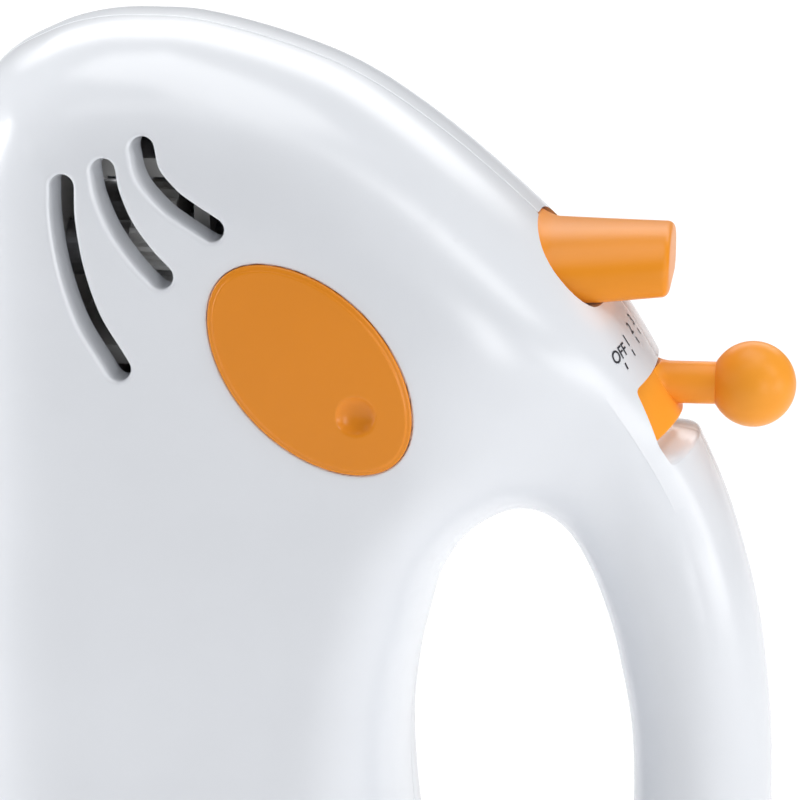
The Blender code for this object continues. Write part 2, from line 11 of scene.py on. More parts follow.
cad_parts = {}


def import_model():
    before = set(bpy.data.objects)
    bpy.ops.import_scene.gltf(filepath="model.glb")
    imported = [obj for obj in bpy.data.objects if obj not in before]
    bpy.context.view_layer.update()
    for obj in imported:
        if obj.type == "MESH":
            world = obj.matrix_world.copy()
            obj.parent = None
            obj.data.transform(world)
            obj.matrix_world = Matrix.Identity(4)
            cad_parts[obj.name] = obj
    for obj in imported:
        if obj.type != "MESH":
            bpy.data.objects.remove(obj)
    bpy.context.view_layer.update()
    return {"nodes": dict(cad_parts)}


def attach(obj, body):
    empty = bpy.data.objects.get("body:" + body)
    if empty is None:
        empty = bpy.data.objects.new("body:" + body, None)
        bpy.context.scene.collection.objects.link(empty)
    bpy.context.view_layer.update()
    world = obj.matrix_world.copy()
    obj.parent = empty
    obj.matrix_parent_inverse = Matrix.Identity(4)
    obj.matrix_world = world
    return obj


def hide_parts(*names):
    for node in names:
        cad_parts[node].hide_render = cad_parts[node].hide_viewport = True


MM = 0.001

# Centre-plane outline of the casing, (x, z) in mm.
OUTLINE = [
    (-29, 209.7), (-19.8, 209.1), (-5.2, 205.5), (9.5, 199.7), (24.0, 190.2), (38.5, 178.1),
    (50.5, 166.4), (58.8, 156.6), (65.5, 146.0), (72.0, 134.4), (77.0, 123.6), (80.6, 112.8),
    (83.4, 101.8), (85.2, 90.5), (86.4, 78.0), (86.8, 62.9), (86.4, 45.0), (83.5, 26.0),
    (77.5, 8.0), (66.0, -8.0), (45.0, -14.0), (15.0, -15.0), (-20.0, -15.0), (-44.0, -12.0),
    (-57.0, 0.0), (-62.5, 20.0), (-65.0, 50.0), (-66.0, 90.0), (-66.2, 130.0), (-66.0, 165.0),
    (-64.3, 185.0), (-57.8, 199.8), (-47.6, 206.5), (-38.4, 209.2),
]
# Edge of the finger hole in the centre plane, mm.
HOLE = [
    (39.8, 120.4), (46.9, 117.0), (52.2, 108.6), (56.1, 98.2), (58.3, 89.4), (60.4, 77.5),
    (61.0, 64.0), (60.4, 50.0), (57.5, 37.5), (51.5, 27.0), (43.0, 22.4), (34.0, 24.0),
    (26.5, 32.0), (21.8, 45.0), (19.6, 60.0), (18.9, 75.1), (20.2, 88.0), (21.9, 95.9),
    (25.4, 107.9), (31.6, 116.7),
]
BODY = (36.0, 30.0, 2.6)      # half width, ramp length, exponent of the body's edge
HANDLE = (15.2, 13.2, 2.05)   # the same in the handle
HANDLE_X = (20, 60)           # where the body's rule passes into the handle's,
HANDLE_TOP = (112, 172)       # across and at its two ends
HANDLE_FOOT = (-20, 38)
HOLE_RAMP = 20.0              # ramp length at the hole, on the body's side
BLEND = 9.0                   # how sharply the two ramps meet
SPLIT = 0.15                  # half the joint between the casing halves
SEAM_DIP = 0.18               # how far the surface falls away beside that joint
SEAM_REACH = 0.3
RIM = 1.4                     # depth of the lip that turns in at a joint
EDGE_BAND = 8.0               # band along the outline that is meshed by its own rule
HOLE_BAND = 3.0
GRID = 1.7                    # spacing of the points on the flanks
FLOOR_CUT = 0.8               # height of the casing's lower edge
# Rows of points across the edge band, as shares of its half width.
BAND_ROWS = [0.008, 0.02, 0.05, 0.09, 0.14, 0.2, 0.27, 0.35, 0.44, 0.53, 0.62, 0.71, 0.8, 0.9]
OPENING_WALL = (1.2, 4.0)     # depths of the rings of points down an opening's wall

# Speed lever: pivot line, shield about it, stem, ball and sleeve, mm and degrees.
# R stands for radii, A for places along the pivot line.
PIVOT = np.array([47.3, 0.0, 125.4])
ALONG = np.array([0.518, 0.0, -0.8554])
OUTWARD = np.array([0.8554, 0.0, 0.518])
LEVER_A = (-9.7, 0.5)
SHIELD_R = (22.4, 25.4)
SHIELD_TURN = ((-41.4, 12.0), (-39.0, 9.6))   # at the two ends of LEVER_A
BALL_AT = np.array([82.0, 0.0, 143.2])
BALL_R = 7.9
STEM_R = 3.9
STEM_LENGTH = 16.0
SLEEVE_R = (2.2, 3.6)
SLEEVE_A = (-9.1, 3.0)
WEB_TURN = 5.0
WEB_A = (-6.6, -2.4)
WELL_R = (19.6, 22.0)
WELL_TURN = ((-43.0, 43.0), (-34.6, 34.6))    # at the two ends of WELL_A
WELL_A = (-10.0, 5.2)
SLIT_TURN = (-8.0, 35.5)                      # where the web passes through the well's floor
SLIT_A = (-7.2, -1.8)
RAMP_FOOT = (15.6, 1.2)                       # half width and place of the foot of the well's ramp
POCKET = np.array([(17.2, -10.2), (16.4, 1.0), (14.9, 6.0)])   # half widths down the pivot line

# Eject button: an arch in the y-z plane, mm.
BUTTON_X = (38.0, 66.9)
BUTTON_LOW = (160.8, 161.6)      # at the casing and at the outer end
BUTTON_TOP = (174.2, 172.7)
BUTTON_Y = (17.8, 13.0)
BUTTON_DROP = (42.3, 45.5)       # where its top comes down from the casing's line
BUTTON_TAPER = 44.0              # where its sides begin to draw in
BUTTON_RISE = 54.0               # where its base begins to rise
BUTTON_EASE = 1.3
BUTTON_CORNER = 4.0
GAP = 0.3                        # clearance round the button

# Beaters: distance from the centre plane, height, and radius of the sockets' openings.
BEATER_Y = 17.0
GEAR_Z = 170.0
SOCKET_R = 9.3
SOCKET_X = -68.0                 # outer face of the socket rings
SHAFT_X = -19.5                  # inner end of the beaters' shafts
WIRE = (0.7, 1.6)                # half thickness and half width of a beater's wire
WIRE_X = (-196.0, -104.0)
WIRE_R = (3.4, 20.8)             # a loop's distance from its line, at its ends and its middle

# Centre lines of the vent slots, (x, z) in mm.
SLOTS = [
    [(-40.0, 185.2), (-39.8, 178.7), (-38.3, 169.9), (-35.4, 161.2), (-31.3, 154.2), (-30.1, 152.2)],
    [(-32.6, 188.2), (-31.7, 183.9), (-29.3, 178.2), (-25.7, 173.0), (-22.3, 169.3)],
    [(-25.7, 192.1), (-24.4, 187.6), (-20.9, 183.5), (-17.9, 181.2), (-13.1, 178.1)],
]
SLOT_WIDTH = 4.4
SLOT_LIP = 0.85
SLOT_DEPTH = 4.6
SLOT_LEAN = (1.3, 0.2)           # how far the slots' walls lean on their way in

BADGE_C = np.array([4.35, 152.95])
BADGE_DIR = np.array([0.674, -0.739])
BADGE_SIZE = (22.8, 14.05)       # half length and half width
# The badge from its hidden back to its face: inset, distance from the centre plane.
BADGE_EDGE = [
    (0.0, 35.2), (0.0, 36.1), (0.08, 36.3), (0.25, 36.43), (0.5, 36.47), (0.85, 36.47),
    (0.95, 36.6), (1.1, 36.7), (1.3, 36.73), (1.6, 36.72),
]
BADGE_CROWN = 0.16
SEAT_GAP = 0.1
SEAT_DEPTH = 0.9
SEAT_LIP = 0.35
DIMPLE_AT = (12.7, 144.9)
DIMPLE_R = 3.6
DIMPLE_DEPTH = 1.45

# Rubber feet (x, y), casing screws of the right half (x, z) and the cord's bush, mm.
FEET = [(-40.0, -18.0), (-40.0, 18.0), (50.0, -15.0), (50.0, 15.0), (0.0, 0.0)]
SCREWS = [(-50.0, 14.0), (6.0, 10.0), (50.0, 9.0), (-54.0, 140.0)]
SCREW_R = 3.4
SCREW_DEPTH = 3.0
CORD_AT = (87.3, 0, 31.3)
CORD_WAY = (1, 0, -0.1)

# Marks above the lever: text, then y and place along the pivot line of its tick, mm.
MARKS = [("OFF", -16.8, -14.9), ("1", -12.4, -15.6), ("2", -7.2, -16.3), ("3", -2.7, -16.8)]
MARK_SIZE = 3.3
MARK_BOLD = 0.045
MARK_ABOVE = 1.5                 # from a tick to its text
TICK = (0.22, 0.65)              # half sizes
INK = 0.07                       # how far the marks stand off the casing

# Soft boxes: name, place, aim, size in metres, watts.
LIGHTS = [
    ("top_box", (0.05, 0.2, 1.25), (0.02, 0.16, 0.0), (1.0, 0.7), 6.2),
    ("front_strip", (0.1, -0.45, 1.2), (0.0, 0.0, 0.1), (1.4, 0.3), 1.8),
    ("left_box", (-1.2, -0.05, 0.5), (-0.03, 0.0, 0.12), (0.35, 0.9), 10.5),
    ("left_strip", (-0.85, -0.75, 0.68), (-0.04, -0.03, 0.17), (0.16, 0.4), 0.4),
    ("right_box", (1.0, -0.35, 0.95), (0.04, -0.02, 0.14), (0.35, 0.6), 2.6),
    ("right_low", (1.1, -0.5, 0.15), (0.05, 0.0, 0.08), (0.4, 0.25), 1.3),
    ("right_strip", (0.75, -1.05, 0.22), (0.06, -0.02, 0.12), (0.25, 0.6), 2.8),
    ("right_graze", (1.2, -0.2, 0.2), (0.04, -0.03, 0.12), (0.3, 0.35), 1.4),
    ("back_box", (0.0, 1.8, 1.0), (0.0, 1.6, 0.0), (2.0, 1.2), 17.0),
]
FLOOR_GLOW = 0.14
WORLD_GLOW = 0.19

# Camera: angles in degrees, then distance, aim and width of view in metres.
CAMERA_TURN = 6.0
CAMERA_RISE = 15.0
CAMERA_AWAY = 1.0
CAMERA_AT = (0.0168, 0.0, 0.1383)
CAMERA_SPAN = 0.148


# ---------------------------------------------------------------- casing surface

def spline(a, b, c, d, step):
    """Points from b towards c on the smooth curve through a, b, c and d."""
    square = 2 * a - 5 * b + 4 * c - d
    cube = 3 * b - a - 3 * c + d
    return [0.5 * (2 * b + (c - a) * t + square * t ** 2 + cube * t ** 3) for t in np.arange(0, 1, step)]


def walked(line):
    """Distance walked along a line at each of its points."""
    return np.concatenate([[0], np.cumsum(np.linalg.norm(np.diff(line, axis=0), axis=1))])


def evenly(line, count):
    """A 2-D line as evenly spaced points, from end to end."""
    walk = walked(line)
    where = np.linspace(0, walk[-1], count)
    return np.stack([np.interp(where, walk, line[:, 0]), np.interp(where, walk, line[:, 1])], -1)


def closed_curve(points, count):
    """Evenly spaced points on a smooth closed curve, starting at its lowest point."""
    points = np.array(points, float)
    total = len(points)
    fine = []
    for k in range(total):
        fine += spline(*(points[(k + i) % total] for i in (-1, 0, 1, 2)), 0.02)
    fine = np.array(fine)
    for _ in range(30):
        fine = 0.5 * fine + 0.25 * (np.roll(fine, 1, axis=0) + np.roll(fine, -1, axis=0))
    fine = np.roll(fine, -int(np.argmin(fine[:, 1])), axis=0)
    return evenly(np.vstack([fine, fine[:1]]), count + 1)[:-1]


def distance(points, curve, closed=True):
    """Distance from each point to a polyline."""
    a = curve if closed else curve[:-1]
    b = np.roll(curve, -1, axis=0) if closed else curve[1:]
    edge = b - a
    size = (edge ** 2).sum(-1)
    result = []
    for chunk in np.array_split(points, max(1, len(points) // 2000)):
        p = chunk[:, None] - a[None]
        t = np.clip((p * edge).sum(-1) / size, 0, 1)
        result.append(np.linalg.norm(p - edge * t[..., None], axis=-1).min(1))
    return np.concatenate(result)


def smooth_step(value, low, high):
    """0 below low, 1 above high and an even rise between them."""
    t = np.clip((value - low) / (high - low), 0, 1)
    return t * t * (3 - 2 * t)


def ramp(reach, exponent):
    """Rounded rise from 0 to 1 as reach goes from 0 to 1."""
    return (1 - (1 - np.clip(reach, 0, 1)) ** exponent) ** (1 / exponent)


def handle_share(points):
    """How far a point belongs to the handle rather than the body, 0 to 1."""
    x, z = points[:, 0], points[:, 1]
    return smooth_step(x, *HANDLE_X) * (1 - smooth_step(z, *HANDLE_TOP)) * smooth_step(z, *HANDLE_FOOT)


def edge_rule(points):
    """Half width, ramp length and exponent of the casing's edge near points (x, z)."""
    share = handle_share(points)
    return [BODY[k] + (HANDLE[k] - BODY[k]) * share for k in range(3)]


def half_width(points):
    """Half width of the casing at points (x, z)."""
    width, reach, power = edge_rule(points)
    reach_hole = HOLE_RAMP + (HANDLE[1] - HOLE_RAMP) * handle_share(points)
    from_edge = np.maximum(ramp(distance(points, OUTER) / reach, power), 1e-4)
    from_hole = np.maximum(ramp(distance(points, INNER) / reach_hole, power), 1e-4)
    return width * (from_edge ** -BLEND + from_hole ** -BLEND - 1) ** (-1 / BLEND)


def normals_of(curve):
    """Unit vectors to the right of a closed curve's direction."""
    tangent = np.roll(curve, -1, axis=0) - np.roll(curve, 1, axis=0)
    tangent /= np.linalg.norm(tangent, axis=1)[:, None]
    return np.stack([tangent[:, 1], -tangent[:, 0]], -1)


OUTER = closed_curve(OUTLINE, 620)
INNER = closed_curve(HOLE, 260)
OUTER_IN = normals_of(OUTER)
INNER_OUT = -normals_of(INNER)
BAND_TOP = half_width(OUTER + OUTER_IN * EDGE_BAND)


def along_outline(s, values):
    """Values along the outline at fractional sample numbers."""
    s = np.asarray(s) % len(OUTER)
    low = np.floor(s).astype(int) % len(OUTER)
    high = (low + 1) % len(OUTER)
    part = s - np.floor(s)
    if values.ndim == 2:
        part = part[:, None]
    return values[low] * (1 - part) + values[high] * part


def band_depth(s, y):
    """How far inside the outline the surface is where its half width is y."""
    base = along_outline(s, OUTER)
    inward = along_outline(s, OUTER_IN)
    depth = np.zeros(len(y))
    for _ in range(4):
        width, reach, power = edge_rule(base + inward * depth[:, None])
        share = np.clip(y / width, 0, 0.999)
        depth = reach * (1 - (1 - share ** power) ** (1 / power))
    return depth + SEAM_DIP * np.clip(1 - (y - SPLIT) / SEAM_REACH, 0, 1) ** 2


def band_point(s, y):
    """Points (x, z) of the edge band for outline positions s and half widths y."""
    return along_outline(s, OUTER) + along_outline(s, OUTER_IN) * band_depth(s, y)[:, None]


def fill(points, loops, keep):
    """Triangles over scattered 2-D points that respect polylines; keep picks them by their middles."""
    verts = [tuple(p) for p in points]
    edges = []
    for loop, closed in loops:
        start = len(verts)
        verts += [tuple(p) for p in loop]
        count = len(loop)
        edges += [(start + k, start + (k + 1) % count) for k in range(count if closed else count - 1)]
    out, _, faces, _, _, _ = delaunay_2d_cdt([Vector(v) for v in verts], edges, [], 0, 1e-5)
    out = np.array([tuple(v) for v in out])
    faces = np.array([f for f in faces if len(f) == 3])
    return out, faces[keep(out[faces].mean(1))]


def inside(points, loop):
    """Whether points are inside a closed polyline."""
    result = np.zeros(len(points), bool)
    a, b = loop, np.roll(loop, -1, axis=0)
    for p, q in zip(a, b):
        crosses = (p[1] > points[:, 1]) != (q[1] > points[:, 1])
        if not crosses.any():
            continue
        at = p[0] + (points[:, 1] - p[1]) * (q[0] - p[0]) / (q[1] - p[1] + 1e-12)
        result ^= crosses & (points[:, 0] < at)
    return result


def pocket_path():
    """(y, height) points round the lever's pocket, from low to high."""
    corners = eased(np.vstack([[(-1.0, POCKET[0, 1])], POCKET, [(-1.0, POCKET[-1, 1])]]), 1.2)
    path = [corners[:1]]
    for a, b in zip(corners, corners[1:]):
        count = max(int(np.linalg.norm(b - a) / 0.8), 1)
        path.append(a + (b - a) * np.linspace(0, 1, count + 1)[1:, None])
    return np.vstack(path) + [0, PIVOT @ ALONG]


def arch(half, low, high, radius, count):
    """Right half of an arch in the y-z plane, from its flat base to its crown."""
    angle = np.linspace(0, pi / 2, count)
    rise = high - low - radius
    crown = np.stack([half * np.cos(angle).clip(0) ** 0.87, low + radius + rise * np.sin(angle) ** 0.87], -1)
    turn = np.linspace(pi / 2, 0, max(count // 4, 3))[:-1]
    base = np.stack([half - radius * (1 - np.cos(turn)), low + radius - radius * np.sin(turn)], -1)
    return np.vstack([base, crown])


def button_path():
    """(y, z) points round the button's opening, from low to high."""
    outline = arch(BUTTON_Y[0] + GAP, BUTTON_LOW[0] - GAP, BUTTON_TOP[0] + GAP, BUTTON_CORNER + GAP, 26)
    flat = [(y, outline[0, 1]) for y in np.arange(-1.0, outline[0, 0] - 0.5, 0.8)]
    return np.vstack([flat, outline, [(-1.0, outline[-1, 1])]])


def locate(path, direction, s_range):
    """Edge-band coordinates (s, y) of points given as (y, height along a direction)."""
    s = np.arange(s_range[0], s_range[1], 0.5)
    result = []
    for y, height in path:
        xz = band_point(s, np.full(len(s), max(y, SPLIT)))
        level = xz @ np.array(direction)
        order = np.argsort(level)
        result.append((np.interp(height, level[order], s[order]), y))
    return np.array(result)


def outline_at(x, z):
    """Outline sample number nearest to a point."""
    return int(np.argmin(((OUTER - np.array([x, z])) ** 2).sum(1)))


def band_openings():
    """Openings of the edge band and the ways their walls run: button, pocket and socket."""
    s_button = outline_at(52.0, 165.0)
    button = locate(button_path(), (0.0, 1.0), (s_button - 34, s_button + 34))
    s_pocket = outline_at(69.5, 138.9)
    pocket = locate(pocket_path(), (ALONG[0], ALONG[2]), (s_pocket - 30, s_pocket + 30))
    s_socket = outline_at(-66.0, GEAR_Z)
    socket = locate(circle(BEATER_Y, GEAR_Z, SOCKET_R, 48), (0.0, 1.0), (s_socket - 30, s_socket + 30))
    return [(button, (-1.0, 0.0, 0.0)), (pocket, tuple(-OUTWARD)), (socket, (1.0, 0.0, 0.0))]


def band_patch(openings):
    """The edge band of one half as 3-D points (x, y, z) and triangles, with its walls."""
    s = np.arange(0, len(OUTER) + 1)
    top = along_outline(s, BAND_TOP)
    grid = np.array([(k, SPLIT + (t - SPLIT) * row) for row in BAND_ROWS for k, t in zip(s, top)])
    for loop, _ in openings:
        grid = grid[distance(grid, loop) > 0.45]
    low = np.stack([s, np.full(len(s), SPLIT)], -1)
    high = np.stack([s, top], -1)
    loops = [(low, False), (high, False)] + [(loop, True) for loop, _ in openings]

    def keep(middle):
        good = middle[:, 1] > SPLIT
        good &= middle[:, 1] < np.interp(middle[:, 0], s, top)
        for loop, _ in openings:
            good &= ~inside(middle, loop)
        return good

    flat, faces = fill(grid, loops, keep)
    xz = band_point(flat[:, 0], np.maximum(flat[:, 1], SPLIT))
    points = [np.stack([xz[:, 0], flat[:, 1], xz[:, 1]], -1)]
    walls = [faces]
    for loop, into in openings:
        loop = loop[loop[:, 1] >= SPLIT]
        edge = band_point(loop[:, 0], loop[:, 1])
        ring = np.stack([edge[:, 0], loop[:, 1], edge[:, 1]], -1)
        rings = [ring] + [ring + np.array(into) * depth for depth in OPENING_WALL]
        add_wall(points, walls, rings, False)
    seam = np.insert(band_point(np.arange(len(OUTER)), np.full(len(OUTER), SPLIT)), 1, SPLIT, axis=1)
    rim = seam + np.insert(OUTER_IN, 1, 0.0, axis=1) * RIM
    add_wall(points, walls, [seam, rim], True, seam_free(openings))
    return np.vstack(points), np.vstack(walls)


def seam_free(openings):
    """Outline samples that no opening crosses."""
    free = np.ones(len(OUTER), bool)
    for loop, _ in openings:
        crossing = loop[loop[:, 1] < 0.5]
        if len(crossing):
            low, high = crossing[:, 0].min(), crossing[:, 0].max()
            free[int(low):int(high) + 2] = False
    return free


def add_wall(points, walls, rings, closed, mask=None):
    """Append a wall through rings of 3-D points to a growing mesh."""
    start = sum(len(p) for p in points)
    count = len(rings[0])
    faces = []
    for r in range(len(rings) - 1):
        for k in range(count if closed else count - 1):
            j = (k + 1) % count
            if mask is not None and not (mask[k] and mask[j]):
                continue
            a, b = start + r * count + k, start + r * count + j
            faces += [(a, b, b + count), (a, b + count, a + count)]
    points.extend(rings)
    walls.append(np.array(faces))


def smooth_line(points, count):
    """Evenly spaced points on a smooth open line."""
    points = np.array(points, float)
    ends = np.vstack([2 * points[0] - points[1], points, 2 * points[-1] - points[-2]])
    fine = []
    for k in range(len(points) - 1):
        fine += spline(*ends[k:k + 4], 0.05)
    return evenly(np.array(fine + [points[-1]]), count)


def capsule(line, radius):
    """Closed outline at a distance from a line, with round ends."""
    tangent = np.gradient(line, axis=0)
    tangent /= np.linalg.norm(tangent, axis=1)[:, None]
    normal = np.stack([-tangent[:, 1], tangent[:, 0]], -1)
    head, tail = [], []
    for a in np.linspace(0, pi, 13)[1:-1]:
        head.append(line[-1] + (normal[-1] * cos(a) + tangent[-1] * sin(a)) * radius)
        tail.append(line[0] + (-normal[0] * cos(a) - tangent[0] * sin(a)) * radius)
    return np.vstack([line + normal * radius, head, (line - normal * radius)[::-1], tail])


def egg(growth, count=90):
    """Badge outline, slightly pointed at its ends, grown by a distance."""
    across = np.array([-BADGE_DIR[1], BADGE_DIR[0]])
    angle = np.linspace(0, 2 * pi, count + 1)[:-1]
    long = (BADGE_SIZE[0] + growth) * np.cos(angle)
    wide = (BADGE_SIZE[1] + growth) * np.sin(angle) * (1 - 0.06 * np.cos(angle) ** 2)
    return BADGE_C + long[:, None] * BADGE_DIR + wide[:, None] * across


def lip(gap, radius):
    """How far a rounded edge has fallen at a distance from where it ends."""
    return radius - np.sqrt(np.maximum(radius ** 2 - np.maximum(radius - gap, 0) ** 2, 0))


def flank_points(ring, rim, lines, seat, holes):
    """Points spread over a flank, closer together round its slots and the badge's seat."""
    grid = []
    for k, z in enumerate(np.arange(-20, 215, GRID * 0.866)):
        for x in np.arange(-70 + (k % 2) * GRID / 2, 95, GRID):
            grid.append((x, z))
    grid = np.array(grid)
    grid = grid[inside(grid, ring) & ~inside(grid, rim)]
    grid = grid[(distance(grid, ring) > 0.9) & (distance(grid, rim) > 0.9)]
    for line in lines:
        grid = grid[distance(grid, line, False) > SLOT_WIDTH / 2 + 2.4]
    grid = grid[distance(grid, seat) > 1.6]
    for hole in holes:
        grid = grid[~inside(grid, hole) & (distance(grid, hole) > 0.8)]
    points = [grid]
    for gap in (0.08, 0.22, 0.42, 0.7, 1.05, 1.7):
        points += [capsule(line, SLOT_WIDTH / 2 + gap) for line in lines]
    points += [egg(SEAT_GAP + gap) for gap in (0.06, 0.16, 0.3, 0.45, 0.9)]
    return np.vstack(points)


def on_flank(loop, drop=0.0):
    """Points (x, z) as 3-D points on the casing, or a drop below it."""
    return np.insert(loop, 1, half_width(loop) - drop, axis=1)


def inner_patch(screws):
    """The casing between its two edge bands, with the slots and the badge's seat."""
    ring = OUTER + OUTER_IN * EDGE_BAND
    rim = INNER + INNER_OUT * HOLE_BAND
    lines = [smooth_line(line, 40) for line in SLOTS]
    slots = [capsule(line, SLOT_WIDTH / 2) for line in lines]
    seat = egg(SEAT_GAP)
    holes = [circle(x, z, SCREW_R, 32) for x, z in screws]
    loops = [(loop, True) for loop in [ring, rim, seat] + slots + holes]

    def keep(middle):
        good = inside(middle, ring) & ~inside(middle, rim)
        for loop in slots + holes:
            good &= ~inside(middle, loop)
        return good

    flat, faces = fill(flank_points(ring, rim, lines, seat, holes), loops, keep)
    y = half_width(flat)
    for line in lines:
        gap = np.maximum(distance(flat, line, False) - SLOT_WIDTH / 2, 0)
        y -= lip(gap, SLOT_LIP)
    within = inside(flat, seat)
    y -= np.where(within, SEAT_DEPTH, lip(distance(flat, seat), SEAT_LIP))
    points = [np.insert(flat, 1, y, axis=1)]
    walls = [faces]
    lean = np.array([SLOT_LEAN[0], -SLOT_DEPTH, SLOT_LEAN[1]])
    for slot in slots:
        edge = on_flank(slot, SLOT_LIP)
        add_wall(points, walls, [edge, edge + lean * 0.3, edge + lean], True)
    for hole in holes:
        edge = on_flank(hole)
        add_wall(points, walls, [edge, edge - np.array([0, SCREW_DEPTH, 0])], True)
    return np.vstack(points), np.vstack(walls)


def circle(across, up, radius, count):
    """Evenly spaced points round a circle."""
    angle = np.linspace(0, 2 * pi, count + 1)[:-1]
    return np.stack([across + radius * np.cos(angle), up + radius * np.sin(angle)], -1)


def hole_patch():
    """The band round the finger hole."""
    rings = []
    for row in np.linspace(0, 1, 16):
        base = INNER + INNER_OUT * HOLE_BAND * row ** 2.4
        width = half_width(base) if row > 0 else np.full(len(base), SPLIT)
        rings.append(np.insert(base, 1, np.maximum(width, SPLIT), axis=1))
    rim = rings[0] + np.insert(INNER_OUT, 1, 0.0, axis=1) * RIM
    return swept([rim] + rings)


def make_object(name, points, faces):
    """An object from points in mm and faces."""
    mesh = bpy.data.meshes.new(name)
    verts = [tuple(p) for p in np.asarray(points) * MM]
    mesh.from_pydata(verts, [], [tuple(int(i) for i in f) for f in faces])
    mesh.update()
    item = bpy.data.objects.new(name, mesh)
    bpy.context.scene.collection.objects.link(item)
    return item


def shade(item, sharp):
    """Smooth shading with sharp edges above an angle in degrees."""
    for polygon in item.data.polygons:
        polygon.use_smooth = True
    item.data.set_sharp_from_angle(angle=radians(sharp))


def build_casing(name, side, screws):
    """One half of the casing, replacing its plain shell."""
    openings = band_openings()
    points, faces = merged([band_patch(openings), inner_patch(screws), hole_patch()])
    item = make_object(name + "_skin", points * np.array([1, side, 1]), faces)
    bm = bmesh.new()
    bm.from_mesh(item.data)
    bmesh.ops.remove_doubles(bm, verts=bm.verts, dist=4e-6)
    bmesh.ops.bisect_plane(bm, geom=bm.verts[:] + bm.edges[:] + bm.faces[:],
                           plane_co=(0, 0, FLOOR_CUT * MM), plane_no=(0, 0, 1), clear_inner=True)
    bmesh.ops.recalc_face_normals(bm, faces=bm.faces)
    outmost = max(bm.faces, key=lambda f: f.calc_center_median().y * side)
    if outmost.normal.y * side < 0:
        bmesh.ops.reverse_faces(bm, faces=bm.faces)
    bm.to_mesh(item.data)
    bm.free()
    shade(item, 50)
    return item


# ---------------------------------------------------------------- small pieces

def eased(path, radius, closed=False, steps=5):
    """Polyline with its corners rounded off."""
    path = np.array(path, float)
    result = []
    for k, here in enumerate(path):
        if not closed and k in (0, len(path) - 1):
            result.append(here)
            continue
        back, forth = path[k - 1] - here, path[(k + 1) % len(path)] - here
        reach = min(radius, 0.45 * np.linalg.norm(back), 0.45 * np.linalg.norm(forth))
        start = here + back / np.linalg.norm(back) * reach
        end = here + forth / np.linalg.norm(forth) * reach
        for t in np.linspace(0, 1, steps):
            result.append(start * (1 - t) ** 2 + 2 * here * t * (1 - t) + end * t * t)
    return np.array(result)


def swept(rings, closed=True):
    """Points and triangles through rings of 3-D points."""
    points, faces = [], []
    add_wall(points, faces, list(rings), closed)
    return np.vstack(points), np.vstack(faces)


def lofted(rings):
    """Closed solid through rings, its ends closed by fans."""
    ends = [np.repeat(ring.mean(0)[None], len(ring), 0) for ring in (rings[0], rings[-1])]
    return swept([ends[0]] + list(rings) + [ends[1]])


def turned(profile, base, axis, segments=64):
    """A profile of (radius, distance) turned about a line."""
    axis = np.array(axis, float) / np.linalg.norm(axis)
    side = np.cross(axis, (0, 1, 0) if abs(axis[1]) < 0.9 else (0, 0, 1))
    side /= np.linalg.norm(side)
    angle = np.linspace(0, 2 * pi, segments + 1)[:-1, None]
    ring = np.cos(angle) * side + np.sin(angle) * np.cross(axis, side)
    return swept([np.array(base) + axis * along + ring * radius for radius, along in profile])


def merged(parts):
    """Several meshes as one."""
    points, faces, start = [], [], 0
    for verts, triangles in parts:
        points.append(verts)
        faces.append(triangles + start)
        start += len(verts)
    return np.vstack(points), np.vstack(faces)


def about_pivot(radius, turn, along):
    """Points at a radius, a turn in degrees and a place along the lever's pivot line."""
    turn = np.radians(turn)
    out = np.multiply.outer(radius * np.cos(turn), OUTWARD)
    return PIVOT + out + np.multiply.outer(along, ALONG) + np.multiply.outer(radius * np.sin(turn), (0, 1, 0))


def sector(radii, turns, along, ease=0.0, steps=48):
    """Part of a ring about the lever's pivot line; turns are given at both ends of along."""
    corners = [(radii[1], 0.0), (radii[1], 1.0), (radii[0], 1.0), (radii[0], 0.0)]
    size = along[1] - along[0]
    corners = np.array(corners) * (1, size)
    profile = eased(corners, ease, True) if ease else corners
    middle = profile.mean(0)
    rings = []
    for part in np.linspace(0, 1, steps + 1):
        edge = radians(min(part, 1 - part) * (turns[0][1] - turns[0][0])) * radii[1]
        shrink = lip(np.array([edge]), ease)[0] if ease else 0.0
        r, a = (middle + (profile - middle) * (1 - 2 * shrink / np.ptp(profile, axis=0))).T
        ends = [low + (high - low) * part for low, high in turns]
        rings.append(about_pivot(r, ends[0] + (ends[1] - ends[0]) * a / size, along[0] + a))
    return lofted(rings)


def surface_at(y, along):
    """Points of the casing near the lever at distances y and places along the pivot line."""
    s = outline_at(66.0, 145.0)
    spots = locate(np.stack([np.abs(y), along + PIVOT @ ALONG], -1), (ALONG[0], ALONG[2]), (s - 60, s + 60))
    xz = band_point(spots[:, 0], np.maximum(spots[:, 1], SPLIT))
    return np.stack([xz[:, 0], y, xz[:, 1]], -1)


def well_piece(low, high, along):
    """Part of the well's floor between two turns, None standing for its own edges."""
    turns = []
    for a in along:
        share = (a - WELL_A[0]) / (WELL_A[1] - WELL_A[0])
        edges = [WELL_TURN[0][k] + (WELL_TURN[1][k] - WELL_TURN[0][k]) * share for k in (0, 1)]
        turns.append((edges[0] if low is None else low, edges[1] if high is None else high))
    return sector(WELL_R, turns, along)


